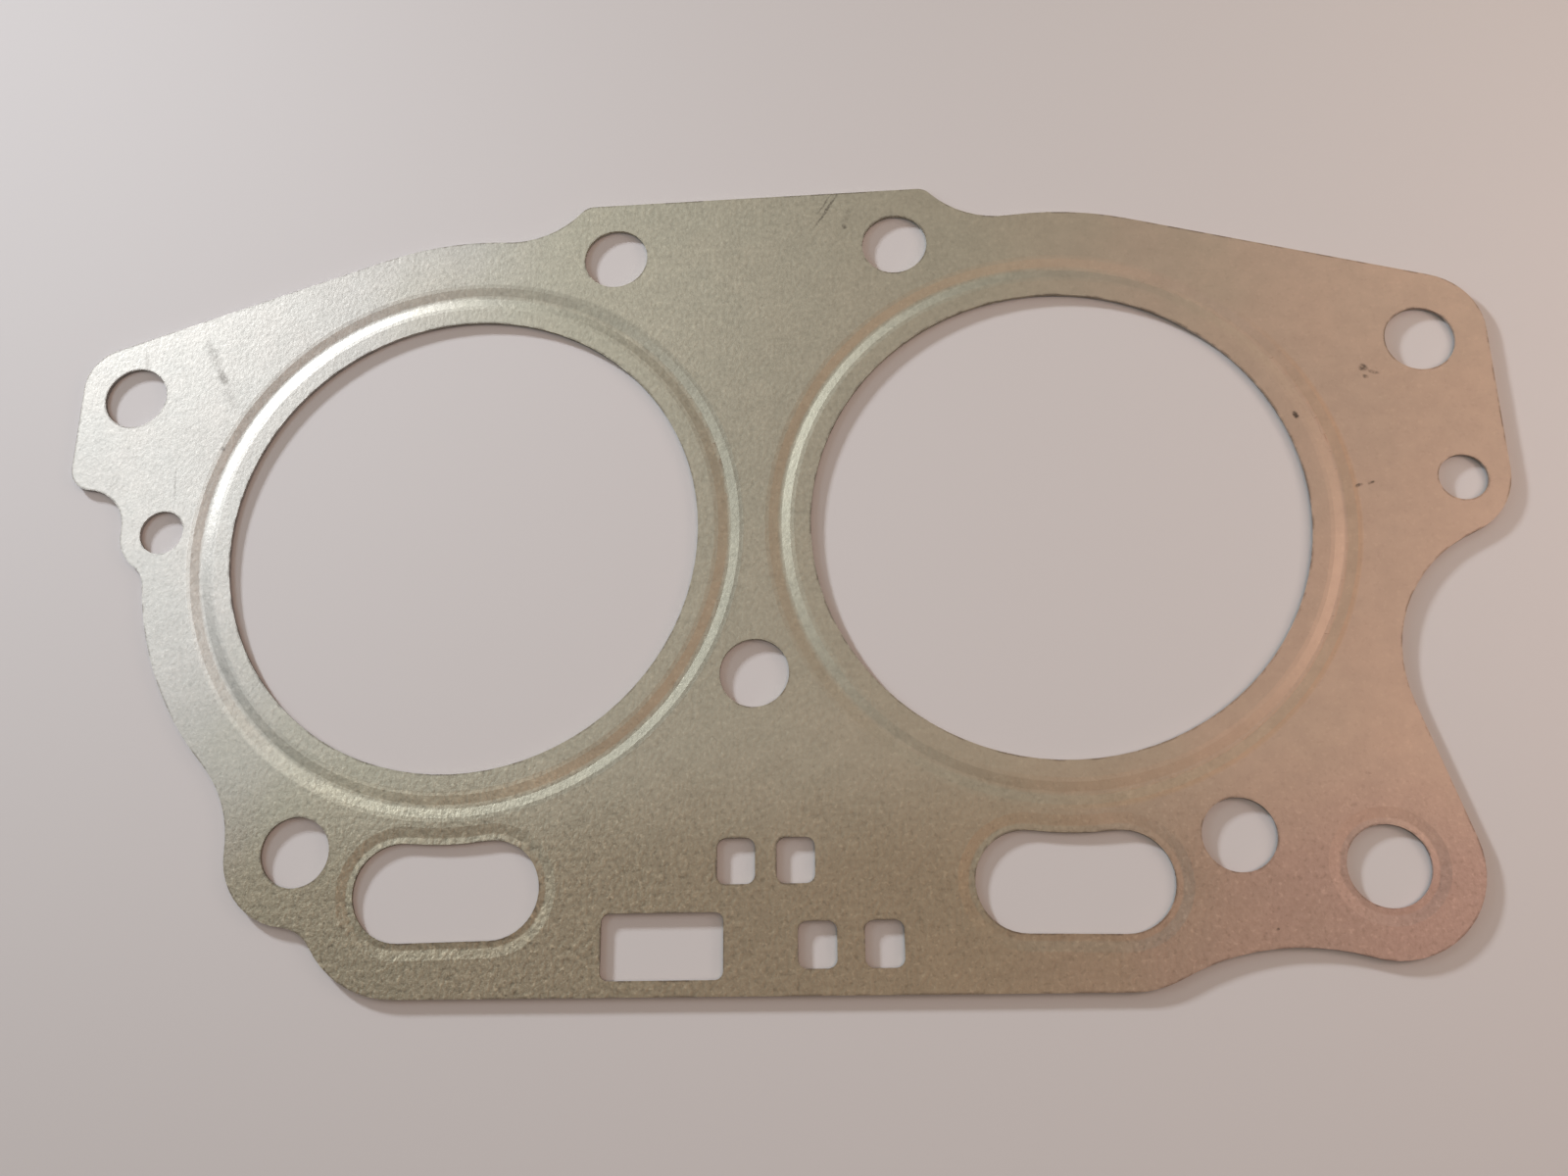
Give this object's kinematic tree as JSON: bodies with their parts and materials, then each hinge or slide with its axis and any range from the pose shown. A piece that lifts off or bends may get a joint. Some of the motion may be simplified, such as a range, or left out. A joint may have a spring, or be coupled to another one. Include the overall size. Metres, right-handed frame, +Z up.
{
  "type": "cylinder head gasket",
  "caption": "Embossed sheet-steel cylinder head gasket with side-by-side beaded cylinder openings, bolt holes, oil ports and pushrod slots.",
  "frame": {"origin": "on the flat head-side face of the sheet, midway between the axes of the two cylinder openings", "axes": "+X from the left cylinder opening to the right one, +Y from the pushrod slots to the plain long side, +Z up to the cylinder head; the beads are pressed down, and the sheet lies on their crests at z = -0.86 mm"},
  "size_m": [0.2195, 0.1245, 0.0009],
  "materials": {
    "sheet_steel": "satin, rolled spring-steel sheet"
  },
  "bodies": {
    "root": {"head_gasket": "sheet_steel"}
  },
  "joints": []
}
